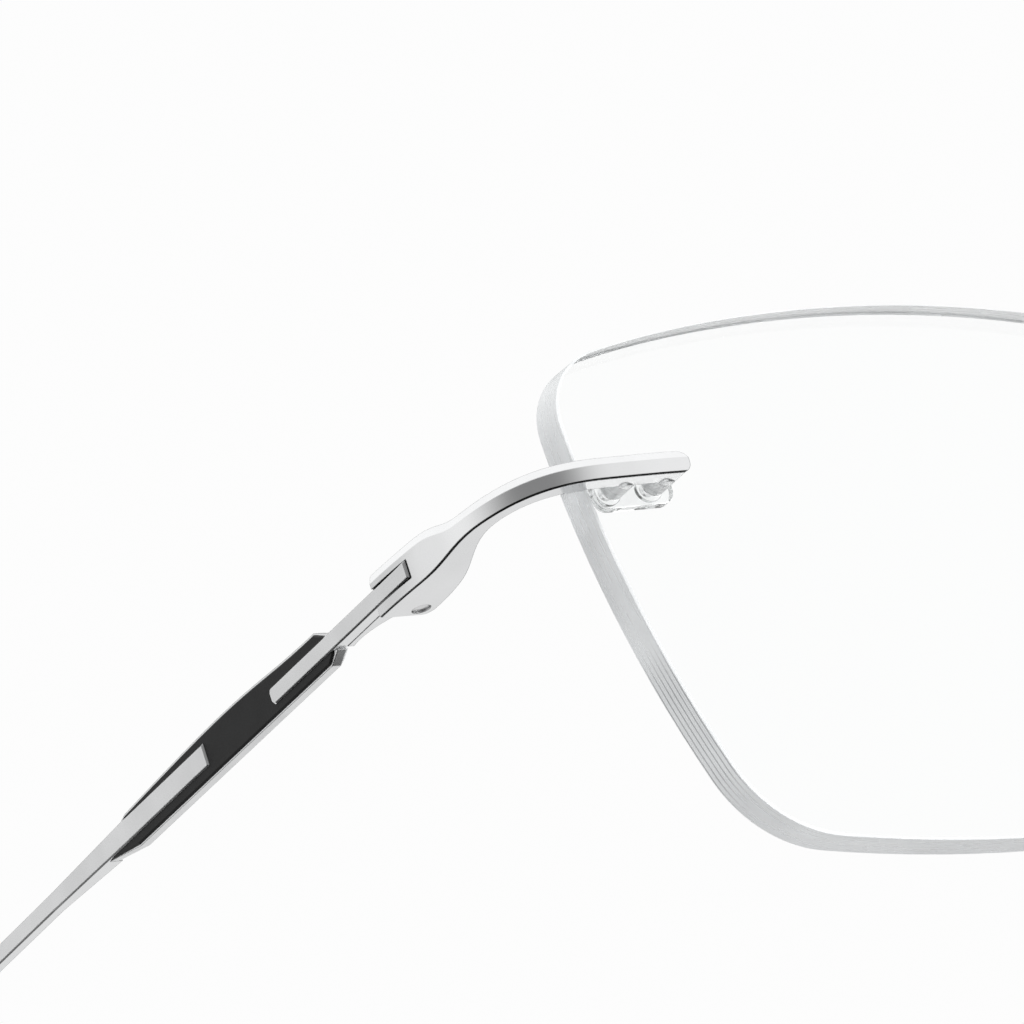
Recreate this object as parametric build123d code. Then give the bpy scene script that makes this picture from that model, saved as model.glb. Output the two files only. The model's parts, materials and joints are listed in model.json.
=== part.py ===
from build123d import *
import os
from math import asin, cos, degrees, radians, sin, sqrt

# Rimless eyeglasses, standing on the lens bottoms and the temple tips with the temples open.
# Millimetres. +X is the wearer's left, +Y runs from the lenses back along the temples, +Z is up.
# Everything that comes in pairs is made for the +X side and mirrored to the -X side.
# The model is drawn about the point midway between the lens centres, and moves at the end so
# that it stands on z = 0 with the middle of its box on x = y = 0.

os.makedirs("parts", exist_ok=True)

# ---------------------------------------------------------------- driving dimensions
lens_width = 55.0
lens_spacing = 18.0             # clear gap between the two lenses
lens_thickness = 2.8
lens_radius = 500.0             # front surface, a shallow sphere
lens_bevel = 0.15
lens_tilt = 3.0                 # lens bottoms lean back towards the cheeks
edge_gap = 0.12                 # metal to lens edge

bar_height = 1.6                # face bars and bridge
bar_thickness = 1.4
bar_level = 8.05                # posts above the lens centres
bar_lift = 0.19                 # middle of the bars above the posts
bar_reach = 7.4                 # face bar, from the lens edge to its tip
bar_rounding = 0.7
upper_facet = (0.57, 0.26)      # down the outer face, and across the top
lower_facet = (0.1, 0.12)       # up the outer face, and across the bottom
hole_inset = 3.1                # lens edge to the nearer hole
hole_spacing = 3.1
post_diameter = 1.0
post_stub = 0.25                # posts stand out of the bushing rings by this much
sleeve_diameter = 1.7
bushing_length = 5.7
bushing_height = 2.8
bushing_plate = 0.9
bushing_corner = 0.9
bushing_softening = 0.25
bushing_gap = 0.04
ring_diameter = 1.9
ring_height = 0.3

hinge_out = 6.8                 # outer face of the hinge, outside the lens edge
hinge_back = 16.7               # hinge pin, behind the front of the face bar
pin_inset = 2.65                # hinge pin, inside the outer face
knuckle_radius = 1.15
fork_height = 3.0
fork_end = 18.1
prong_rounding = 0.6
prong_corner = 0.5              # outer corner of the prong ends, in plan
rise_start = 7.6                # the upper side rises from the bar to the fork
rise_end = 12.2
fall_start = 5.6                # the lower side falls from the bar to the fork
fall_end = 12.6
slot_height = 1.32
slot_depth = 1.03
slot_start = 13.2
screw_diameter = 1.3
screw_head = 1.9
screw_head_height = 0.3
screw_recess = 0.12             # lower end of the screw, inside the fork
driver_slot_width = 0.3
driver_slot_depth = 0.18
running_gap = 0.03
knuckle_gap = 0.1               # around the leaf knuckle
slot_end_gap = 0.07

temple_length = 145.0           # from the hinge pin along the temple to its tip
temple_lift = 0.08              # middle of the temple above the middle of the face bar
bar_strip_height = 1.2
bar_strip_thickness = 1.0
strip_chamfer = 0.12
bar_over_inlay = 0.37           # thickness of the bars where they lie in the inlay
front_bar_end = 32.6
leaf_end = 23.6
inlay_start = 24.3
inlay_end = 57.6
inlay_top = 1.68                # above and below the middle of the temple
inlay_bottom = 1.2
inlay_below_bar = 0.15          # the inlay lies this far inside the outer face of the bars
inlay_inset = 0.62              # inner face of the inlay, inside the outer face
plate_start = 23.85
plate_wall = 0.14               # wall of the back plate around the inlay
plate_rim = 0.3                 # the rim lies this far inside the outer face of the bars
plate_thickness = 0.8
plate_chamfer = 0.42
inlay_chamfer = 0.1
bar_nose_rounding = 0.4         # rear end of the front bar, in side view
rear_bar_start = 42.1
rear_bar_height = 1.62
rear_bar_lift = 0.34            # middle of the rear bar above the middle of the temple
rod_start = 66.0
rod_start_top = 0.85            # the rear bar narrows from here, still lifted
rod_start_bottom = -0.4
rod_height = 1.05
rod_thickness = 0.85
wire_size = 0.9

tip_drop_angle = 40.0
tip_bend_radius = 22.0
tip_end_radius = 1.9
sleeve_lead = 17.0              # tip sleeve in front of the bend
sleeve_thickness = 2.5
sleeve_rounding = 0.7

bridge_rise = 2.6
bridge_bow = 1.2
bridge_foot = 9.6               # bridge foot, from the nose-side lens edge to its tip
bridge_chamfer = 0.3
bridge_corner = 3.0

pad_length = 13.5
pad_width = 7.8
pad_thickness = 2.3
pad_frontal = 18.0              # lower ends of the pads lean outwards
pad_splay = 28.0                # rear edges of the pads lean outwards
pad_centre = (10.8, 11.0, -1.5)  # pad screw
pad_wire = 0.9
pad_screw_diameter = 0.8
pad_screw_head = 1.5
pad_back_rounding = 0.5
pad_face_rounding = 1.2

# ---------------------------------------------------------------- frames
lens_centre_x = (lens_spacing + lens_width) / 2
lens_frame = Pos(lens_centre_x, 0, 0) * Rot(lens_tilt, 0, 0)


def front_depth(x, z):
    """Depth of the lens front behind the lens centre, in the lens frame."""
    return lens_radius - sqrt(lens_radius**2 - x**2 - z**2)


def mount_frame(x, z):
    """Frame on the lens front at (x, z), with y along the normal towards the wearer."""
    turn = degrees(asin(x / lens_radius))
    lean = -degrees(asin(z / lens_radius))
    return lens_frame * Pos(x, front_depth(x, z), z) * Rot(0, 0, turn) * Rot(lean, 0, 0)


def prism_z(face, low, high):
    """A face drawn in XY, made solid from z = low to z = high."""
    return Pos(0, 0, low) * extrude(face, high - low)


def prism_y(face, low, high):
    """A face drawn as (x, z), made solid from y = low to y = high."""
    return Rot(90, 0, 0) * prism_z(face, -high, -low)


def prism_x(face, low, high):
    """A face drawn as (y, z), made solid from x = low to x = high."""
    return Rot(0, 0, 90) * Rot(90, 0, 0) * prism_z(face, low, high)


def pin_y(diameter, low, high):
    """Cylinder along y."""
    return Pos(0, (low + high) / 2, 0) * Rot(90, 0, 0) * Cylinder(diameter / 2, high - low)


def block(x_low, x_high, y_low, y_high, z_low, z_high):
    """Box given by its limits."""
    box = Box(x_high - x_low, y_high - y_low, z_high - z_low)
    return Pos((x_low + x_high) / 2, (y_low + y_high) / 2, (z_low + z_high) / 2) * box


# ---------------------------------------------------------------- lens
# Four bowed sides between four corners, each corner rounded; x runs towards the temple:
# (corner x, corner z, rounding, bow of the side that follows).
lens_corners = [
    (27.4, 16.1, 5.0, 3.90),     # upper, temple side; the top follows
    (-26.9, 13.6, 11.0, 2.50),   # upper, nose side; the nose side follows
    (-21.5, -17.3, 13.0, 1.98),  # lower, nose side; the bottom follows
    (20.1, -16.4, 9.0, 2.00),    # lower, temple side; the temple side follows
]


def lens_outline():
    sides = []
    for index, (x, z, rounding, bow) in enumerate(lens_corners):
        next_corner = lens_corners[(index + 1) % len(lens_corners)]
        sides.append(SagittaArc((x, z), next_corner[:2], -bow))
    face = make_face(sides)
    for x, z, rounding, bow in lens_corners:
        corner = face.vertices().sort_by_distance(Vector(x, z, 0))[0]
        face = fillet(corner, rounding)
    return face


def lens_edge(side):
    """x of the lens edge at the level of the bars, on the temple (1) or nose (-1) side."""
    inside = lens_outline() & Line((0, bar_level), (side * lens_width, bar_level))
    return side * inside.edge().length


def ball(radius):
    """Ball about the centre of curvature of the lens, its seam away from the lens."""
    return Pos(0, lens_radius, 0) * Rot(0, 0, 90) * Sphere(radius)


temple_edge = lens_edge(1)
nose_edge = lens_edge(-1)
temple_mount = mount_frame(temple_edge - hole_inset - hole_spacing / 2, bar_level)
nose_mount = mount_frame(nose_edge + hole_inset + hole_spacing / 2, bar_level)
post_offsets = (-hole_spacing / 2, hole_spacing / 2)

outline = lens_outline()
blank = prism_y(outline, -1, 12) & ball(lens_radius)
blank = blank - ball(lens_radius - lens_thickness)
rims = blank.edges().filter_by(lambda edge: edge.length > 1)
blank = chamfer(rims, lens_bevel)
lens = lens_frame * blank
for mount in (temple_mount, nose_mount):
    for offset_x in post_offsets:
        lens = lens - mount * Pos(offset_x, 0, 0) * pin_y(sleeve_diameter, -2, 6)

# What metal has to stay out of: the lens, its edge grown by a small gap.
keep_out = lens_frame * (prism_y(offset(outline, edge_gap), -1, 12) & ball(lens_radius))


# ---------------------------------------------------------------- bushings
def make_bushing(mount):
    """Clear plate behind the lens, with two sleeves through it and two rings at the back."""
    front = lens_thickness + bushing_gap
    back = front + bushing_plate
    plate = prism_y(RectangleRounded(bushing_length, bushing_height, bushing_corner), front, back)
    plate = fillet(plate.faces().sort_by(Axis.Y)[-1].edges(), bushing_softening)
    for offset_x in post_offsets:
        spot = Pos(offset_x, 0, 0)
        plate = plate + spot * pin_y(sleeve_diameter, 0.1, front + 0.1)
        plate = plate + spot * pin_y(ring_diameter, back - 0.1, back + ring_height)
    for offset_x in post_offsets:
        plate = plate - Pos(offset_x, 0, 0) * pin_y(post_diameter, -1, 9)
    return mount * plate


def posts(mount):
    """Two posts that press into the sleeves of a bushing."""
    end = lens_thickness + bushing_gap + bushing_plate + ring_height + post_stub
    return [mount * Pos(x, 0, 0) * pin_y(post_diameter, -0.4, end) for x in post_offsets]


temporal_bushing = make_bushing(temple_mount)
nasal_bushing = make_bushing(nose_mount)

# ---------------------------------------------------------------- end piece
# The side frame has its origin on the front of the face bar at the lens edge, at bar level.
edge_point = (lens_frame * Pos(temple_edge, front_depth(temple_edge, bar_level), bar_level)).position
side_frame = Pos(edge_point.X, edge_point.Y - bar_thickness, edge_point.Z)


def bar_front(distance):
    """Front of the face bar in the side frame, at a distance inwards from the lens edge."""
    x = temple_edge - distance
    on_lens = (lens_frame * Pos(x, front_depth(x, bar_level), bar_level)).position
    return on_lens - edge_point


pin_x = hinge_out - pin_inset
tip = bar_front(bar_reach)
back_room = bar_thickness + 0.4  # the bar is drawn into the lens and cut back to its front
tip_front = (tip.X, tip.Y + 0.1)
heel = (hinge_out, fork_end - prong_corner)
outer_line = Spline(
    tip_front, (-4.8, -0.22), (-2.0, -0.1), (0.6, 0.15), (2.6, 0.87), (4.2, 2.3), (5.35, 4.6),
    (5.98, 7.6), (6.35, 10.8), (6.65, 14.0), heel,
)
inner_start = (0.1, bar_thickness + 0.2)
inner_line = Spline(
    inner_start, (1.7, 1.95), (2.8, 2.6), (3.75, 3.7), (4.35, 5.2), (4.5, 7.0), (4.2, 9.0),
    (3.65, 11.1), (3.2, 13.2), (3.02, 15.0), (pin_x - knuckle_radius, hinge_back),
)
knuckle_arc = CenterArc((pin_x, hinge_back), knuckle_radius, 90, 90)
knuckle_end = hinge_back + knuckle_radius
plan = make_face([
    outer_line,
    SagittaArc(heel, (hinge_out - prong_corner, fork_end), 0.25 * prong_corner),
    Line((hinge_out - prong_corner, fork_end), (pin_x, knuckle_end)),
    knuckle_arc,
    inner_line,
    Line(inner_start, (tip.X, tip.Y + back_room)),
    Line((tip.X, tip.Y + back_room), tip_front),
])
half_bar = bar_height / 2
half_fork = fork_height / 2
side_profile = make_face([
    Line((-3, half_bar), (rise_start, half_bar)),
    Bezier((rise_start, half_bar), (9.4, half_bar), (9.8, half_fork), (rise_end, half_fork)),
    Line((rise_end, half_fork), (fork_end, half_fork)),
    Line((fork_end, half_fork), (fork_end, -half_fork)),
    Line((fork_end, -half_fork), (fall_end, -half_fork)),
    Bezier((fall_end, -half_fork), (9.4, -half_fork), (9.0, -half_bar), (fall_start, -half_bar)),
    Line((fall_start, -half_bar), (-3, -half_bar)),
    Line((-3, -half_bar), (-3, half_bar)),
])
fork = prism_z(plan, -2, 2) & prism_x(side_profile, -12, 8)


def outer_edges(solid, side):
    """Long edges of the outer face, on its upper (1) or lower (-1) side."""
    outer_face = solid.faces().sort_by(SortBy.AREA)[-1]
    edges = outer_face.edges().filter_by(lambda edge: side * edge.center().Z > 0.5 * half_bar)
    return outer_face, edges


for side, (along_face, across) in ((1, upper_facet), (-1, lower_facet)):
    outer_face, edges = outer_edges(fork, side)
    fork = chamfer(edges, along_face, across, reference=outer_face)
for corner in side_profile.vertices().sort_by(Axis.X)[-2:]:
    side_profile = fillet(side_profile.vertices().sort_by_distance(corner)[0], prong_rounding)
bar_view = block(0, 12, -2, fork_end, -half_fork, half_fork)
bar_end = Pos(tip.X + 6, 0, 0) * RectangleRounded(12, bar_height, bar_rounding)
bar_view = bar_view + prism_y(bar_end, -2, 8)
fork = fork & prism_x(side_profile, -12, 8) & bar_view

half_slot = slot_height / 2
slot_floor = hinge_out - slot_depth
knuckle_room = knuckle_radius + knuckle_gap
at_pin = Pos(pin_x, hinge_back, 0)
gap = block(slot_floor, 9, slot_start, 20, -half_slot, half_slot)
gap = gap + block(0, 9, hinge_back - 0.7, 20, -half_slot, half_slot)
gap = gap + block(0, pin_x, hinge_back - knuckle_room, 20, -half_slot, half_slot)
gap = Pos(0, 0, temple_lift - bar_lift) * (gap + at_pin * Cylinder(knuckle_room, slot_height))
head_seat = half_fork - screw_head_height
fork = fork - gap
fork = fork - at_pin * Cylinder(screw_diameter / 2, 9)
fork = fork - at_pin * Pos(0, 0, head_seat + 1) * Cylinder(screw_head / 2 + running_gap, 2)
bar_frame = side_frame * Pos(0, 0, bar_lift)
end_piece = bar_frame * fork - keep_out
for post in posts(temple_mount):
    end_piece = end_piece + post

# ---------------------------------------------------------------- hinge screw and leaf
screw_low = screw_recess - half_fork
shank = at_pin * Pos(0, 0, (screw_low + head_seat) / 2)
shank = shank * Cylinder(screw_diameter / 2 - running_gap / 2, head_seat - screw_low)
head = at_pin * Pos(0, 0, head_seat + screw_head_height / 2)
screw = shank + head * Cylinder(screw_head / 2, screw_head_height)
screw = screw - at_pin * Pos(0, 0, half_fork) * Box(3, driver_slot_width, 2 * driver_slot_depth)
hinge_screw = bar_frame * screw

bar_inside = hinge_out - bar_strip_thickness
leaf_inside = bar_inside - 0.5
leaf_height = slot_height - 2 * running_gap
leaf_plan = make_face([
    Line((pin_x, hinge_back - 0.95), (bar_inside, hinge_back - 0.6)),
    Line((bar_inside, hinge_back - 0.6), (bar_inside, leaf_end)),
    Line((bar_inside, leaf_end), (leaf_inside, leaf_end)),
    Spline(
        (leaf_inside, leaf_end), (leaf_inside, leaf_end - 2.0), (leaf_inside - 0.6, 19.6),
        (pin_x - 0.7, hinge_back + 0.8),
    ),
    Line((pin_x - 0.7, hinge_back + 0.8), (pin_x, hinge_back - 0.95)),
])
leaf = prism_z(leaf_plan, -leaf_height / 2, leaf_height / 2)
leaf = leaf + at_pin * Cylinder(knuckle_radius, leaf_height)
leaf = leaf - at_pin * Cylinder(screw_diameter / 2, 9)
temple_frame = side_frame * Pos(0, 0, temple_lift)
temple_leaf = temple_frame * leaf

# ---------------------------------------------------------------- bars, inlay, back plate
half_strip = bar_strip_height / 2
groove_floor = hinge_out - bar_over_inlay
inlay_back = hinge_out - inlay_inset
plate_back = inlay_back - plate_thickness

bar_start = slot_start + slot_end_gap
bar_points = [
    (hinge_out, bar_start), (hinge_out, front_bar_end), (groove_floor, front_bar_end),
    (groove_floor, leaf_end), (bar_inside, leaf_end), (bar_inside, bar_start),
]
bar = prism_z(make_face(Polyline(*bar_points, close=True)), -half_strip, half_strip)
bar = fillet(bar.edges().filter_by(Axis.X).sort_by(Axis.Y)[-2:], bar_nose_rounding)
bar = chamfer(bar.faces().sort_by(Axis.X)[-1].edges(), strip_chamfer)
front_bar = temple_frame * bar

rod_inside = hinge_out - rod_thickness
sleeve_angle = radians(tip_drop_angle)
ground = lens.bounding_box().min.Z
drop = edge_point.Z + temple_lift - ground
bend_drop = tip_bend_radius * (1 - cos(sleeve_angle))
bend_length = tip_bend_radius * sleeve_angle
tip_straight = (drop - bend_drop - tip_end_radius) / sin(sleeve_angle)
bend_start = hinge_back + temple_length - bend_length - tip_straight - tip_end_radius
rod_end = bend_start - sleeve_lead

tray_end = inlay_end + plate_wall
rear_points = [
    (hinge_out, rear_bar_start), (hinge_out, rod_end), (rod_inside, rod_end),
    (rod_inside, rod_start), (plate_back + 0.1, tray_end), (groove_floor, tray_end),
    (groove_floor, rear_bar_start),
]
rear_top = rear_bar_lift + rear_bar_height / 2
rear_bottom = rear_bar_lift - rear_bar_height / 2
half_rod = rod_height / 2
rear_side = make_face(Polyline(
    (rear_bar_start, rear_top), (inlay_end - 3, rear_top), (rod_start, rod_start_top),
    (rod_end, half_rod), (rod_end, -half_rod), (rod_start, rod_start_bottom),
    (inlay_end - 3, rear_bottom),
    (rear_bar_start, rear_bottom), close=True,
))
rear = prism_z(make_face(Polyline(*rear_points, close=True)), -2, 2) & prism_x(rear_side, 0, 12)
rear = chamfer(rear.faces().sort_by(Axis.X)[-1].edges(), strip_chamfer)


def inlay_outline(start, grow):
    """Side view of the inlay, or of the back plate around it, as a face of (y, z)."""
    top = inlay_top + grow
    bottom = -inlay_bottom - grow
    end = inlay_end + grow
    shoulder = (inlay_start + 1.6, top - 0.34)
    heel = (inlay_end - 3.4, top - 0.32)
    return make_face([
        Line((start, -0.75), (start, 0.5)),
        Line((start, 0.5), shoulder),
        Spline(shoulder, (31.0, top - 0.22), (35.5, top), (45.0, top), heel),
        Line(heel, (end, 0.4)),
        Line((end, 0.4), (end, -0.45)),
        Line((end, -0.45), (inlay_end - 4.2, bottom + 0.1)),
        Line((inlay_end - 4.2, bottom + 0.1), (inlay_start + 0.7, bottom)),
        Line((inlay_start + 0.7, bottom), (start, -0.75)),
    ])


core = prism_x(inlay_outline(inlay_start, 0), inlay_back, hinge_out - inlay_below_bar)
plate = prism_x(inlay_outline(plate_start, plate_wall), plate_back, hinge_out - plate_rim)
plate = chamfer(plate.faces().sort_by(Axis.X)[0].edges(), plate_chamfer)
back_plate = temple_frame * (plate - core - bar - rear)
core = chamfer(core.faces().sort_by(Axis.X)[-1].edges(), inlay_chamfer)
inlay = temple_frame * (core - bar - rear)

# ---------------------------------------------------------------- core wire and tip sleeve
wire_x = (hinge_out + rod_inside) / 2
tip_direction = (cos(sleeve_angle), -sin(sleeve_angle))


def on_tip_path(distance):
    """Point of the tip path and its direction, measured back from the bend start, as (y, z)."""
    if distance <= 0:
        return (bend_start + distance, 0), (1, 0)
    if distance < bend_length:
        angle = distance / tip_bend_radius
        point = (bend_start + tip_bend_radius * sin(angle), tip_bend_radius * (cos(angle) - 1))
        return point, (cos(angle), -sin(angle))
    along = distance - bend_length
    y = bend_start + tip_bend_radius * sin(sleeve_angle) + along * tip_direction[0]
    return (y, -bend_drop + along * tip_direction[1]), tip_direction


def ribbon(stations, half_heights):
    """Outline about the tip path, with a round far end, as a face of (y, z)."""
    upper = []
    lower = []
    for distance, half in zip(stations, half_heights):
        (y, z), (along_y, along_z) = on_tip_path(distance)
        upper.append((y - along_z * half, z + along_y * half))
        lower.append((y + along_z * half, z - along_y * half))
    (y, z), (along_y, along_z) = on_tip_path(stations[-1])
    nose = (y + along_y * half_heights[-1], z + along_z * half_heights[-1])
    ends = [(1, 0), tip_direction]
    return make_face([
        Spline(*upper, tangents=ends),
        ThreePointArc(upper[-1], nose, lower[-1]),
        Spline(*lower, tangents=ends),
        Line(lower[0], upper[0]),
    ])


far_end = bend_length + tip_straight
stations = [-sleeve_lead, 0, bend_length / 2, bend_length, bend_length + tip_straight / 2, far_end]
sleeve_halves = [1.15, 1.35, 1.5, 1.65, 1.9, tip_end_radius]
sleeve_face = ribbon(stations, sleeve_halves)
sleeve = prism_x(sleeve_face, wire_x - sleeve_thickness / 2, wire_x + sleeve_thickness / 2)
long_edges = sleeve.faces().filter_by(Axis.X).edges().filter_by(lambda edge: edge.length > 3)
sleeve = fillet(long_edges, sleeve_rounding)
wire_stations = [-sleeve_lead - 0.5] + stations[1:-1] + [far_end - 3]
wire_face = ribbon(wire_stations, [wire_size / 2] * len(wire_stations))
wire = prism_x(wire_face, wire_x - wire_size / 2, wire_x + wire_size / 2)
rear_rod = temple_frame * (rear + wire)
temple_tip = temple_frame * (sleeve - wire)

# ---------------------------------------------------------------- bridge

def bridge_back(x):
    """Back of the bridge foot on the lens front, at x of the lens frame."""
    spot = (lens_frame * Pos(x, front_depth(x, bar_level), bar_level)).position
    return (spot.X, spot.Y + 0.1)


foot_points = [bridge_back(nose_edge + bridge_foot * part) for part in (1, 0.5, 0)]
back_line = foot_points + [(0, foot_points[-1][1] - bridge_bow)]
back_line = back_line + [(-x, y) for x, y in reversed(foot_points)]
front_line = [(x, y - bar_thickness - 0.1) for x, y in back_line]
bridge_plan = make_face([
    Spline(*back_line),
    Line(back_line[-1], front_line[-1]),
    Spline(*front_line),
    Line(front_line[0], back_line[0]),
])
foot_x = foot_points[0][0]
arch_foot = foot_points[-1][0] + 0.2
arch = FilletPolyline(
    (-foot_x, 0), (-arch_foot, 0), (-arch_foot * 0.6, bridge_rise), (arch_foot * 0.6, bridge_rise),
    (arch_foot, 0), (foot_x, 0), radius=bridge_corner,
)
band = make_face(offset(arch, half_bar, side=Side.BOTH).edges())
bridge = prism_z(bridge_plan, -9, 9) & prism_y(band, -9, 9)
bridge = chamfer(bridge.faces().sort_by(Axis.Y)[0].edges(), bridge_chamfer)
bridge = Pos(0, 0, edge_point.Z + bar_lift) * bridge
behind_foot = lens_frame * ball(lens_radius) & block(arch_foot - 0.2, 40, -20, 20, -40, 40)
bridge = bridge - behind_foot - mirror(behind_foot, about=Plane.YZ)
for post in posts(nose_mount):
    bridge = bridge + post + mirror(post, about=Plane.YZ)

# ---------------------------------------------------------------- nose pad
# The pad frame has its origin on the pad screw: -x to the nose, y along the screw, z up the pad.
pad_frame = Pos(*pad_centre) * Rot(0, 0, -pad_splay) * Rot(0, -pad_frontal, 0)
pad_back = -1.7                 # back of the pad, on the nose side of the screw
box_inside = 2.2                # between the cheeks of the pad box
box_outside = 3.0
cheek_height = 2.4
lug_radius = 0.72

pad_box = block(-0.8, 1.4, -box_outside / 2, box_outside / 2, -cheek_height / 2, cheek_height / 2)
pad_box = pad_box - block(-2, 0.9, -box_inside / 2, box_inside / 2, -3, 3)
pad_box = fillet(pad_box.edges().filter_by(Axis.Y).sort_by(Axis.X)[:4], 0.6)
pad_box = pad_box - pin_y(pad_screw_diameter, -3, 3)

half_lug = box_inside / 2 - running_gap
lug = pin_y(2 * lug_radius, -half_lug, half_lug)
lug = lug + block(pad_back - 0.2, 0, -half_lug, half_lug, -lug_radius, lug_radius)
lug = lug - pin_y(pad_screw_diameter, -3, 3)
wing = prism_x(Ellipse(1.9, 3.6), pad_back - 0.75, pad_back - 0.2)
pad_core = lug + wing

screw_back = box_outside / 2
pad_screw = pin_y(pad_screw_diameter - running_gap, -screw_back - 0.1, screw_back + 0.15)
pad_head = pin_y(pad_screw_head, -screw_back - 0.45, -screw_back)
pad_head = pad_head - Pos(0, -screw_back - 0.45, 0) * Box(0.3, 0.4, 3)
pad_screw = pad_screw + pad_head

half_length = pad_length / 2
half_width = pad_width / 2
pad_outline = make_face(Spline(
    (0.2, half_length), (half_width - 0.2, 2.0), (half_width - 0.9, -3.6),
    (0.2, -half_length), (0.6 - half_width, -3.4), (-half_width, 2.0), periodic=True,
))
nose_pad = prism_x(pad_outline, pad_back - pad_thickness, pad_back)
nose_pad = fillet(nose_pad.faces().sort_by(Axis.X)[0].edges(), pad_face_rounding)
nose_pad = fillet(nose_pad.faces().sort_by(Axis.X)[-1].edges(), pad_back_rounding)
nose_pad = nose_pad - pad_core

# ---------------------------------------------------------------- pad arm
arm_root = Vector(back_line[2][0] - 1.1, back_line[2][1] - 0.5, edge_point.Z)
arm_seat = (pad_frame * Pos(1.4, 0, 0)).position
arm_lead = (pad_frame * Pos(3.6, 0, 0.6)).position
arm_line = FilletPolyline(
    arm_root,
    arm_root + Vector(0, 7.2, 0.7),
    arm_lead + Vector(0.2, 0.6, 3.4),
    arm_lead,
    arm_seat,
    radius=1.0,
)
pad_arm = sweep((arm_line ^ 0) * Circle(pad_wire / 2), path=arm_line)
pad_arm = pad_arm - bridge - pad_frame * block(-3, 1.4, -3, 3, -3, 3)

# ---------------------------------------------------------------- both sides, and the files
pieces = {
    "lens": lens,
    "end_piece": end_piece,
    "temple_side_bushing": temporal_bushing,
    "nose_side_bushing": nasal_bushing,
    "hinge_screw": hinge_screw,
    "temple_hinge_leaf": temple_leaf,
    "temple_front_bar": front_bar,
    "temple_inlay": inlay,
    "temple_back_plate": back_plate,
    "temple_rod": rear_rod,
    "temple_tip": temple_tip,
    "pad_arm": pad_arm,
    "pad_box": pad_frame * pad_box,
    "pad_core": pad_frame * pad_core,
    "pad_screw": pad_frame * pad_screw,
    "nose_pad": pad_frame * nose_pad,
}
model = {"bridge": bridge}
for name, shape in pieces.items():
    model["left_" + name] = shape
    model["right_" + name] = mirror(shape, about=Plane.YZ)

boxes = [shape.bounding_box() for shape in model.values()]
front = min(box.min.Y for box in boxes)
back = max(box.max.Y for box in boxes)
bottom = min(box.min.Z for box in boxes)
to_stand = Pos(0, -(front + back) / 2, -bottom)
for name, shape in model.items():
    export_step(to_stand * shape, "parts/" + name + ".step")

print("box y", front, back, "z", bottom)
print("hinge pin", (to_stand * side_frame * Pos(pin_x, hinge_back, 0)).position)
print("pad frame", (to_stand * pad_frame).position, "axis", (to_stand * pad_frame).y_axis.direction)
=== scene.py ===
import json
from math import cos, pi, radians, sin

import bmesh
import bpy
from mathutils import Matrix, Vector


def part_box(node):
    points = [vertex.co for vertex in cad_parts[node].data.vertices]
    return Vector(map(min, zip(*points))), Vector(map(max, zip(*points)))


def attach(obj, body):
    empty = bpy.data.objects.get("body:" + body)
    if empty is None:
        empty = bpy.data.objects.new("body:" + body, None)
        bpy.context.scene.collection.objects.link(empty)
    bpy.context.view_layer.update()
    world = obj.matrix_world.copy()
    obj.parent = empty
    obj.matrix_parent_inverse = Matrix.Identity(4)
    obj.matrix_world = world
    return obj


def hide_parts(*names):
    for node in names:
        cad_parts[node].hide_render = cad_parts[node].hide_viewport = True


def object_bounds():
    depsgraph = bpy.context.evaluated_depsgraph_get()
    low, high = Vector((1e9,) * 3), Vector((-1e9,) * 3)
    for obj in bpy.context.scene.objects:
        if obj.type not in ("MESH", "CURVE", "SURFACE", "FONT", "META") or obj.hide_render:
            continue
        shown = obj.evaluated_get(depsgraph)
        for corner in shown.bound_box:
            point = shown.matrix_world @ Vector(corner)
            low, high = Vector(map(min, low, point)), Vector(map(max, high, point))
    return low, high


# Rimless eyeglasses in a white studio. Metres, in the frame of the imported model.
MM = 0.001

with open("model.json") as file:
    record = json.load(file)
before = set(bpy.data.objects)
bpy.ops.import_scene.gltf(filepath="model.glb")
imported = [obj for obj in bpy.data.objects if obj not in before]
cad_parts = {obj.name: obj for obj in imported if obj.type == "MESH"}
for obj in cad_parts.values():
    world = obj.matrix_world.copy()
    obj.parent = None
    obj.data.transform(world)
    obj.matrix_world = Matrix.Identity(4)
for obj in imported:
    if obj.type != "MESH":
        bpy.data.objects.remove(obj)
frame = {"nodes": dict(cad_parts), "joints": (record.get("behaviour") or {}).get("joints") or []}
cad_low, cad_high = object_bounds()
nodes = frame["nodes"]
joints = {joint["name"]: joint for joint in frame["joints"]}
sides = ("left", "right")
lens_tilt = radians(3)
lens_axis = Vector((0, cos(lens_tilt), sin(lens_tilt)))
behind_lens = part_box("right_temple_side_bushing")[1].y + 1 * MM


def add_object(name, data):
    """A new object with this data, in the scene."""
    obj = bpy.data.objects.new(name, data)
    bpy.context.scene.collection.objects.link(obj)
    return obj


# ---------------------------------------------------------------- node helpers
def set_range(node, start, end, low, high):
    """Make a Map Range node turn start..end into low..high."""
    sockets = ("From Min", "From Max", "To Min", "To Max")
    for socket, number in zip(sockets, (start, end, low, high)):
        node.inputs[socket].default_value = number


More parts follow.
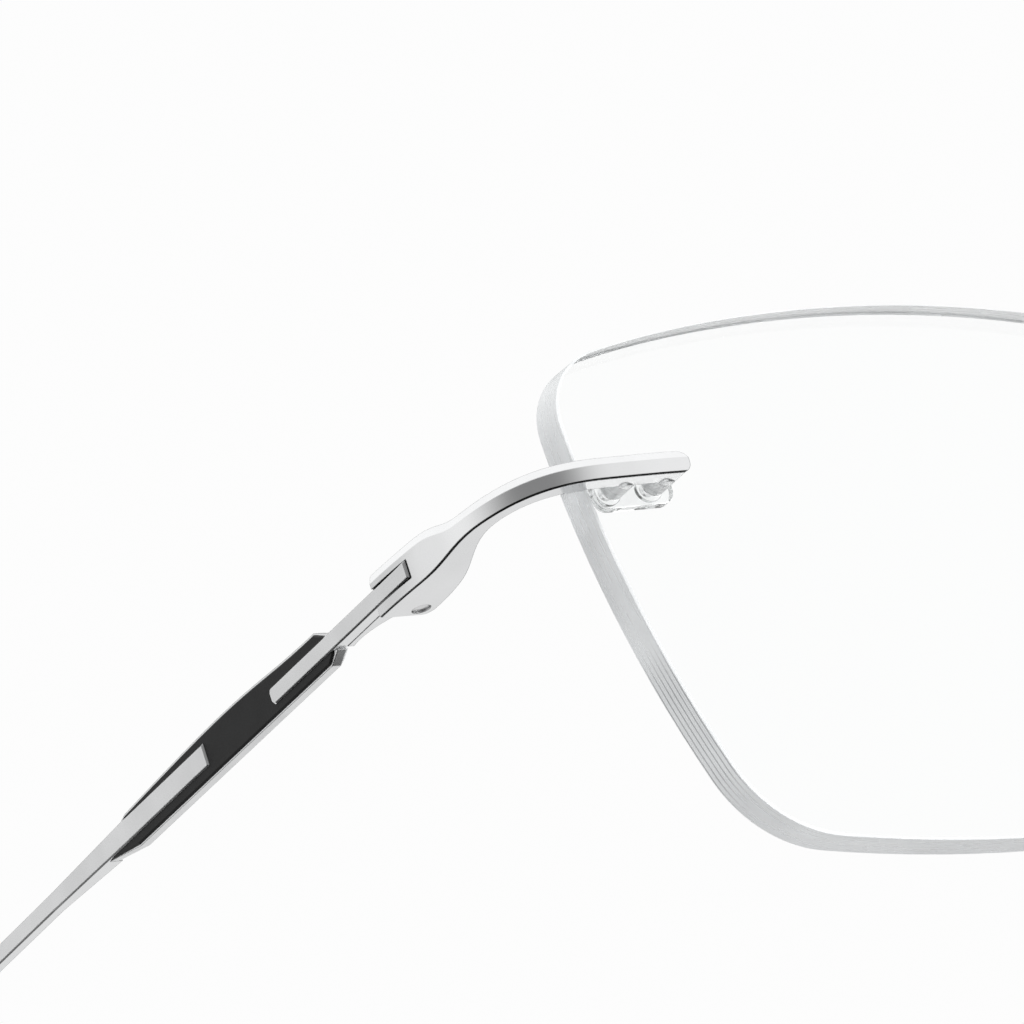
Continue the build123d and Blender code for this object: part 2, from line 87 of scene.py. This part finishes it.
class Shader:
    """A new material with a Principled shader, and short ways to add nodes to it."""

    SAMPLES = 6                     # rays of each Bevel and Ambient Occlusion node

    def __init__(self, name, **values):
        self.material = bpy.data.materials.new(name)
        self.material.use_nodes = True
        self.tree = self.material.node_tree
        self.principled = self.tree.nodes["Principled BSDF"]
        self.coordinates = self.add("ShaderNodeTexCoord").outputs["Object"]
        for socket, value in values.items():
            self.principled.inputs[socket.replace("_", " ")].default_value = value

    def add(self, kind, **settings):
        node = self.tree.nodes.new(kind)
        for name, value in settings.items():
            setattr(node, name, value)
        return node

    def link(self, output, node, socket):
        self.tree.links.new(output, node.inputs[socket])

    def noise(self, scale, detail=4.0, stretch=(1, 1, 1)):
        """Noise with this many features per metre, drawn out by a factor along each axis."""
        mapping = self.add("ShaderNodeMapping")
        mapping.inputs["Scale"].default_value = [1 / factor for factor in stretch]
        self.link(self.coordinates, mapping, "Vector")
        texture = self.add("ShaderNodeTexNoise")
        texture.inputs["Scale"].default_value = scale
        texture.inputs["Detail"].default_value = detail
        self.link(mapping.outputs["Vector"], texture, "Vector")
        return texture.outputs["Fac"]

    def spread(self, value, low, high, start=0.3, end=0.7):
        """A value from start to end, mapped from low to high."""
        node = self.add("ShaderNodeMapRange")
        set_range(node, start, end, low, high)
        self.link(value, node, "Value")
        return node.outputs["Result"]

    def math(self, operation, first, second):
        """Arithmetic on two values, each a socket or a number."""
        node = self.add("ShaderNodeMath", operation=operation)
        for socket, value in zip(node.inputs, (first, second)):
            if isinstance(value, (int, float)):
                socket.default_value = value
            else:
                self.tree.links.new(value, socket)
        return node.outputs[0]

    def dot(self, direction):
        """Distance along a direction, in metres."""
        node = self.add("ShaderNodeVectorMath", operation="DOT_PRODUCT")
        node.inputs[1].default_value = direction
        self.link(self.coordinates, node, 0)
        return node.outputs["Value"]

    def waves(self, value, pitch):
        """Narrow peaks, from 0 to 1, one for each pitch."""
        peak_start = 0.55           # the part of each sine wave above this makes the peak
        swing = self.math("SINE", self.math("MULTIPLY", value, 2 * pi / pitch), 0.0)
        return self.spread(swing, 0.0, 1.0, peak_start, 1.0)

    def occlusion_shade(self, reach, shut, clear):
        """Painted shade from ambient occlusion: 0 in gaps and corners up to this openness, 1 on
        surfaces from that openness on.
        """
        node = self.add("ShaderNodeAmbientOcclusion", samples=self.SAMPLES)
        node.inputs["Distance"].default_value = reach
        return self.spread(node.outputs["AO"], 0.0, 1.0, shut, clear)

    def rounded_normal(self, radius):
        """The surface normal, as if the edges were rounded to this radius."""
        node = self.add("ShaderNodeBevel", samples=self.SAMPLES)
        node.inputs["Radius"].default_value = radius
        return node.outputs["Normal"]

    def painted_edge_shade(self, radius, dark, reach):
        """Painted shade along edges, in place of what a rounded edge would reflect: 1 on flat
        surfaces, falling to the dark value where the surface turns over an edge.

        reach is how far the rounded normal has turned, as 1 - cosine, where it is darkest.
        """
        flat = 0.98                 # cosine from which a surface counts as flat
        bevel = self.rounded_normal(radius)
        geometry = self.add("ShaderNodeNewGeometry")
        node = self.add("ShaderNodeVectorMath", operation="DOT_PRODUCT")
        self.link(bevel, node, 0)
        self.link(geometry.outputs["Normal"], node, 1)
        return self.spread(node.outputs["Value"], dark, 1.0, 1.0 - reach, flat)

    def roughness(self, value):
        self.link(value, self.principled, "Roughness")

    def colour(self, value, dark, light):
        """Base colour between two colours."""
        ramp = self.add("ShaderNodeValToRGB")
        ramp.color_ramp.elements[0].color = (*dark, 1)
        ramp.color_ramp.elements[1].color = (*light, 1)
        self.link(value, ramp, "Fac")
        self.link(ramp.outputs["Color"], self.principled, "Base Color")

    def bump(self, height, depth, rounding=0.0):
        """Relief of this depth in metres, over edges rounded to this radius."""
        node = self.add("ShaderNodeBump")
        node.inputs["Distance"].default_value = depth
        self.link(height, node, "Height")
        if rounding:
            self.link(self.rounded_normal(rounding), node, "Normal")
        self.link(node.outputs["Normal"], self.principled, "Normal")


# ---------------------------------------------------------------- materials
# The dark end of the metal colours: the painted gap shade and the painted edge lines run towards
# it.
nearly_black = (0.004, 0.004, 0.004)


def metal(name, base, rough, grain, rounding=0.1 * MM, shut=0.2, clear=0.6):
    """Polished metal: fine lines along the grain, faint handling marks, painted shade in gaps and
    painted dark lines along edges.

    The painted gap shade is left out near the lenses, where the posts show through the clear
    bushings.
    """
    gap_shade_reach = 0.3 * MM
    edge_shade_tone = 0.15
    edge_shade_reach = 0.12
    line_depth = 0.0006 * MM
    shader = Shader(name, Metallic=1.0)
    lines = shader.noise(9000, 3.0, grain)
    cloud = shader.noise(260, 3.0)
    at_lens = shader.spread(shader.dot((0, 1, 0)), 1.0, 0.0, behind_lens, behind_lens + 1 * MM)
    # Painted shade in gaps and corners, from ambient occlusion, left out near the lenses.
    painted_gap_shade = shader.math("MAXIMUM", shader.occlusion_shade(gap_shade_reach, shut, clear), at_lens)
    tone = shader.math("MULTIPLY", shader.spread(cloud, 0.94, 1.0), painted_gap_shade)
    # Painted dark lines along edges, standing in for the reflections of rounded edges.
    tone = shader.math("MULTIPLY", tone, shader.painted_edge_shade(rounding, edge_shade_tone, edge_shade_reach))
    shader.colour(tone, nearly_black, base)
    shader.roughness(shader.spread(cloud, rough * 0.8, rough * 1.3))
    shader.bump(lines, line_depth, rounding)
    return shader.material


titanium = (0.88, 0.885, 0.89)
along_x = (30, 1, 1)            # grain: how far the lines are drawn out along each axis
along_y = (1, 30, 1)
even = (1, 1, 1)
bar_metal = metal("bar_metal", titanium, 0.13, along_y)
bridge_metal = metal("bridge_metal", titanium, 0.13, along_x)
plate_metal = metal("plate_metal", titanium, 0.3, along_y)
wire_metal = metal("wire_metal", (0.83, 0.835, 0.84), 0.16, even, 0.02 * MM)
# The screws' slots and gaps get a stronger painted shade.
screw_metal = metal("screw_metal", (0.8, 0.8, 0.805), 0.2, even, 0.03 * MM, shut=0.55, clear=0.8)


def lens_face_material():
    """Polished optical surface with a very thin coating tone, perfectly smooth and even."""
    tint = (0.995, 1.0, 0.998, 1)
    shader = Shader(
        "lens_polish", Base_Color=tint, Roughness=0.0, IOR=1.5, Transmission_Weight=1.0
    )
    return shader.material


def lens_edge_material():
    """Ground and softly polished edge: fine lines run round the lens, parallel to its faces.

    The dark lines are drawn, and only on the stretch of the edge between the two heights.
    """
    line_pitch = 0.46 * MM
    shader = Shader("lens_ground_edge", IOR=1.5, Transmission_Weight=0.3)
    lines = shader.noise(4200, 2.0, (14, 1, 14))
    cloud = shader.noise(170, 2.0)
    across = shader.dot(lens_axis)
    ground = shader.waves(across, line_pitch)
    height = shader.dot((0, 0, 1))
    above_low = shader.spread(height, 0.0, 0.8, 4.5 * MM, 7.0 * MM)
    below_high = shader.spread(height, 1.0, 0.0, 13.0 * MM, 16.0 * MM)
    marks = shader.math("MULTIPLY", ground, shader.math("MULTIPLY", above_low, below_high))
    tone = shader.math("SUBTRACT", shader.spread(cloud, 0.75, 1.0), marks)
    shader.colour(tone, (0.34, 0.35, 0.36), (0.955, 0.975, 0.985))
    shader.roughness(shader.spread(lines, 0.22, 0.4))
    shader.bump(lines, 0.001 * MM, 0.1 * MM)
    return shader.material


def bushing_material():
    """Clear moulding, barely uneven where it flowed."""
    tint = (0.97, 0.98, 0.98, 1)
    shader = Shader("bushing_clear", Base_Color=tint, IOR=1.49, Transmission_Weight=1.0)
    flow = shader.noise(900, 2.0)
    shader.roughness(shader.spread(flow, 0.02, 0.07))
    shader.bump(flow, 0.01 * MM, 0.06 * MM)
    return shader.material


def inlay_material():
    """Satin black moulding with a fine leathery spark."""
    shader = Shader("inlay_black", Specular_IOR_Level=0.14)
    grain = shader.noise(14000, 3.0)
    cloud = shader.noise(500, 2.0)
    shader.colour(cloud, (0.006, 0.0061, 0.0063), (0.012, 0.0122, 0.0126))
    shader.roughness(shader.spread(grain, 0.34, 0.5))
    shader.bump(grain, 0.004 * MM, 0.06 * MM)
    return shader.material


def tip_material():
    """Soft-touch black sleeve."""
    shader = Shader("tip_black", Specular_IOR_Level=0.5, Coat_Weight=0.15, Coat_Roughness=0.35)
    grain = shader.noise(7000, 4.0)
    shader.colour(shader.noise(300, 2.0), (0.016, 0.0165, 0.018), (0.026, 0.0265, 0.029))
    shader.roughness(shader.spread(grain, 0.38, 0.56))
    shader.bump(grain, 0.006 * MM, 0.1 * MM)
    return shader.material


def silicone_material():
    """Clear silicone, a little milky."""
    shader = Shader(
        "pad_silicone",
        Base_Color=(0.93, 0.935, 0.925, 1),
        IOR=1.41,
        Transmission_Weight=0.75,
        Subsurface_Weight=0.2,
        Subsurface_Scale=1.5 * MM,
    )
    grain = shader.noise(3000, 3.0)
    shader.roughness(shader.spread(grain, 0.28, 0.42))
    shader.bump(grain, 0.01 * MM, 0.15 * MM)
    return shader.material


def pad_core_material():
    """Clear plastic core of a nose pad, hazier than the bushings."""
    tint = (0.96, 0.96, 0.95, 1)
    shader = Shader("pad_core_clear", Base_Color=tint, IOR=1.49, Transmission_Weight=0.9)
    flow = shader.noise(1200, 2.0)
    shader.roughness(shader.spread(flow, 0.08, 0.2))
    shader.bump(flow, 0.01 * MM, 0.05 * MM)
    return shader.material


lens_faces = lens_face_material()
lens_edge = lens_edge_material()
clear_bushing = bushing_material()
black_inlay = inlay_material()
black_tip = tip_material()
silicone = silicone_material()
clear_core = pad_core_material()

cad_materials = {
    "end_piece": bar_metal,
    "temple_side_bushing": clear_bushing,
    "nose_side_bushing": clear_bushing,
    "hinge_screw": screw_metal,
    "temple_hinge_leaf": bar_metal,
    "temple_front_bar": bar_metal,
    "temple_inlay": black_inlay,
    "temple_back_plate": plate_metal,
    "temple_rod": bar_metal,
    "temple_tip": black_tip,
    "pad_arm": wire_metal,
    "pad_box": bar_metal,
    "pad_core": clear_core,
    "pad_screw": screw_metal,
}


def paint(obj, material):
    """Give a CAD node one material."""
    obj.data.materials.clear()
    obj.data.materials.append(material)


paint(nodes["bridge"], bridge_metal)
for side in sides:
    for name, material in cad_materials.items():
        paint(nodes[f"{side}_{name}"], material)


# ---------------------------------------------------------------- lenses
face_slope = 0.85               # cosine: a face turned less from the lens axis is optical


def lens_piece(side):
    """The CAD lens, with its two optical faces and its ground edge as different surfaces."""
    mesh = nodes[f"{side}_lens"].data.copy()
    mesh.materials.clear()
    mesh.materials.append(lens_faces)
    mesh.materials.append(lens_edge)
    for polygon in mesh.polygons:
        polygon.material_index = 0 if abs(polygon.normal.dot(lens_axis)) > face_slope else 1
    piece = add_object(f"{side}_optical_lens", mesh)
    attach(piece, "front")
    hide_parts(f"{side}_lens")


for side in sides:
    lens_piece(side)


# ---------------------------------------------------------------- nose pads
pad_splay = radians(28)
pad_frontal = radians(18)
pad_back = -1.7 * MM            # back of a pad, on the nose side of its screw
pad_half_length = 6.7 * MM
pad_half_width = 3.8 * MM
pad_taper = 0.12                # the upper end is wider
pad_shortening = 0.12           # inner outlines are shorter than a scaled copy by this much
# From the back to the crowned face: depth, and the outline's size at that depth.
pad_profile = [
    (0.12, 0.30), (0.05, 0.55), (0.0, 0.78), (0.06, 0.92), (0.3, 0.985), (0.75, 1.0), (1.2, 0.975),
    (1.6, 0.9), (1.9, 0.77), (2.1, 0.6), (2.22, 0.4), (2.28, 0.2),
]


def pad_placement(side):
    """Frame of a nose pad: -x towards the nose, y along its screw, z up the pad."""
    place = Vector(joints["left_pad_rock"]["pos_m"])
    turn = Matrix.Rotation(-pad_splay, 4, "Z") @ Matrix.Rotation(-pad_frontal, 4, "Y")
    placement = Matrix.Translation(place) @ turn
    if side == "right":
        placement = Matrix.Scale(-1, 4, Vector((1, 0, 0))) @ placement
    return placement


def nose_pad(side, segments=40):
    """Silicone pad: a drop-shaped outline lofted from a dished back to a crowned face."""
    placement = pad_placement(side)
    shape = bmesh.new()

    def point(depth, size, turn):
        y = pad_half_width * size * cos(turn) * (1 + pad_taper * sin(turn))
        z = pad_half_length * (size - pad_shortening * (1 - size)) * sin(turn)
        return shape.verts.new(placement @ Vector((pad_back - depth * MM, y, z)))

    rings = []
    for depth, size in pad_profile:
        rings.append([point(depth, size, 2 * pi * step / segments) for step in range(segments)])
    for ring, next_ring in zip(rings, rings[1:]):
        for step in range(segments):
            other = (step + 1) % segments
            shape.faces.new((ring[step], ring[other], next_ring[other], next_ring[step]))
    back_middle = pad_profile[0][0] + 0.03
    front_middle = pad_profile[-1][0] + 0.02
    for ring, depth in ((rings[0], back_middle), (rings[-1], front_middle)):
        middle = point(depth, 0.0, 0.0)
        for step in range(segments):
            shape.faces.new((ring[step], ring[(step + 1) % segments], middle))
    bmesh.ops.recalc_face_normals(shape, faces=shape.faces)
    mesh = bpy.data.meshes.new(f"{side}_silicone_pad")
    shape.to_mesh(mesh)
    shape.free()
    for polygon in mesh.polygons:
        polygon.use_smooth = True
    mesh.materials.append(silicone)
    piece = add_object(f"{side}_silicone_pad", mesh)
    smooth = piece.modifiers.new("smooth", "SUBSURF")
    smooth.levels = 1
    smooth.render_levels = 1
    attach(piece, f"{side}_pad")
    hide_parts(f"{side}_nose_pad")


for side in sides:
    nose_pad(side)


# ---------------------------------------------------------------- studio
def build_floor():
    """Pale floor that is only seen from above; from below it lets the view through."""
    size = 3.0                  # half the floor's width
    gap = 0.02 * MM
    mesh = bpy.data.meshes.new("floor")
    corners = [(-size, -size, 0), (size, -size, 0), (size, size, 0), (-size, size, 0)]
    mesh.from_pydata(corners, [], [(0, 1, 2, 3)])
    floor = add_object("floor", mesh)
    floor.location.z = cad_low.z - gap
    floor.visible_glossy = False
    floor.visible_diffuse = False
    grey = (0.8, 0.8, 0.8, 1)
    shader = Shader("floor_pale", Base_Color=grey, Roughness=0.9, Specular_IOR_Level=0.1)
    shader.bump(shader.noise(40, 3.0), 0.05 * MM)
    geometry = shader.add("ShaderNodeNewGeometry")
    see_through = shader.add("ShaderNodeBsdfTransparent")
    mix = shader.add("ShaderNodeMixShader")
    shader.link(geometry.outputs["Backfacing"], mix, 0)
    shader.link(shader.principled.outputs[0], mix, 1)
    shader.link(see_through.outputs[0], mix, 2)
    output = shader.tree.nodes["Material Output"]
    shader.link(mix.outputs[0], output, "Surface")
    floor.data.materials.append(shader.material)


def sky_direction(azimuth, elevation):
    """Unit vector; azimuth in degrees from -Y towards +X, elevation above the horizon."""
    turn = radians(azimuth)
    rise = radians(elevation)
    return Vector((sin(turn) * cos(rise), -cos(turn) * cos(rise), sin(rise)))


def build_world():
    """Even white to the eye and to soft light; mirror reflections see a room with darker zones.

    The room is white with a bright ceiling, a dark floor zone and four grey cards. It is fixed in
    the world, and its directions were chosen for the photo's view.
    """
    white = 0.98
    wall_tone = 0.97
    ceiling_tone = 1.07
    under_the_bar = (-0.45, -0.25, -0.86)   # the floor zone is dark on this side only
    world = bpy.data.worlds.new("studio")
    bpy.context.scene.world = world
    world.use_nodes = True
    tree = world.node_tree
    links = tree.links
    background = tree.nodes["Background"]
    coordinates = tree.nodes.new("ShaderNodeTexCoord").outputs["Generated"]

    def ramp(value, start, end, low, high):
        node = tree.nodes.new("ShaderNodeMapRange")
        node.interpolation_type = "SMOOTHSTEP"
        set_range(node, start, end, low, high)
        links.new(value, node.inputs["Value"])
        return node.outputs["Result"]

    def dot(direction):
        node = tree.nodes.new("ShaderNodeVectorMath")
        node.operation = "DOT_PRODUCT"
        node.inputs[1].default_value = Vector(direction).normalized()
        links.new(coordinates, node.inputs[0])
        return node.outputs["Value"]

    def card(direction, inner, outer, depth):
        """1 away from a direction, falling to 1 - depth inside a cone; angles in degrees."""
        return ramp(dot(direction), cos(radians(outer)), cos(radians(inner)), 1.0, 1.0 - depth)

    def combine(operation, first, second):
        node = tree.nodes.new("ShaderNodeMath")
        node.operation = operation
        for socket, value in zip(node.inputs, (first, second)):
            if isinstance(value, float):
                socket.default_value = value
            else:
                links.new(value, socket)
        return node.outputs[0]

    up = dot((0, 0, 1))
    low = ramp(up, -0.52, -0.36, 0.96, 0.0)
    low = combine("MULTIPLY", low, ramp(dot(under_the_bar), 0.2, 0.38, 0.0, 1.0))
    walls = combine("SUBTRACT", wall_tone, low)
    for grey_card in (
        card(sky_direction(-46, 20), 14, 82, 0.74),
        card(sky_direction(-143, 20), 4, 12, 0.3),
        card(sky_direction(145, 22), 8, 20, 0.75),
        card(sky_direction(144, -20), 12, 34, 0.18),
    ):
        walls = combine("MULTIPLY", walls, grey_card)
    ceiling = ramp(up, 0.48, 0.62, 0.0, 1.0)
    above = combine("MULTIPLY", ceiling, ceiling_tone)
    room = combine("MAXIMUM", walls, above)
    paths = tree.nodes.new("ShaderNodeLightPath")
    mix = tree.nodes.new("ShaderNodeMix")
    # A sharp refracted ray counts as glossy too, and it has to see plain white.
    glossy = paths.outputs["Is Glossy Ray"]
    refracted = paths.outputs["Is Transmission Ray"]
    mirrored = combine("GREATER_THAN", combine("SUBTRACT", glossy, refracted), 0.5)
    links.new(mirrored, mix.inputs["Factor"])
    mix.inputs["A"].default_value = white
    links.new(room, mix.inputs["B"])
    links.new(mix.outputs["Result"], background.inputs["Color"])
    background.inputs["Strength"].default_value = 1.0


def area_light(name, place, size, watts):
    """Soft round light, aimed at the middle of the glasses."""
    aim = Vector((0, 0, 0.02))
    data = bpy.data.lights.new(name, "AREA")
    data.shape = "DISK"
    data.size = size
    data.energy = watts
    light = add_object(name, data)
    light.location = place
    light.rotation_mode = "QUATERNION"
    light.rotation_quaternion = (Vector(place) - aim).to_track_quat("Z", "Y")
    light.visible_glossy = False


def build_camera():
    """Close view from the right and below, towards the right end piece."""
    low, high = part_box("right_end_piece")
    # From the end piece's outer rear end to the point that the view is placed by.
    hinge_out = 6.8 * MM
    fork_end = 18.1 * MM
    bar_lift = 0.19 * MM
    middle_z = (low.z + high.z) / 2
    lens_edge_point = Vector((low.x + hinge_out, high.y - fork_end, middle_z - bar_lift))
    azimuth = radians(35.65)
    elevation = radians(19.9)
    roll = radians(18.02)
    distance = 550.8 * MM
    across = 5.07 * MM
    down = 2.58 * MM
    towards = Vector((sin(azimuth) * cos(elevation), cos(azimuth) * cos(elevation), sin(elevation)))
    level = Vector((cos(azimuth), -sin(azimuth), 0))
    upright = level.cross(towards)
    image_x = cos(roll) * level - sin(roll) * upright
    image_y = sin(roll) * level + cos(roll) * upright
    data = bpy.data.cameras.new("camera")
    data.lens = 306.1
    data.sensor_width = 36.0
    data.clip_start = 0.02
    data.clip_end = 20
    camera = add_object("camera", data)
    place = lens_edge_point - distance * towards - across * image_x - down * image_y
    axes = Matrix((image_x, image_y, -towards)).transposed()
    camera.matrix_world = Matrix.Translation(place) @ axes.to_4x4()
    bpy.context.scene.camera = camera


build_floor()
build_world()
area_light("key", place=(-0.5, -0.5, 0.9), size=0.6, watts=3)
area_light("fill", place=(0.7, 0.4, 0.7), size=0.8, watts=2)
build_camera()
bpy.context.scene.view_settings.view_transform = "Standard"
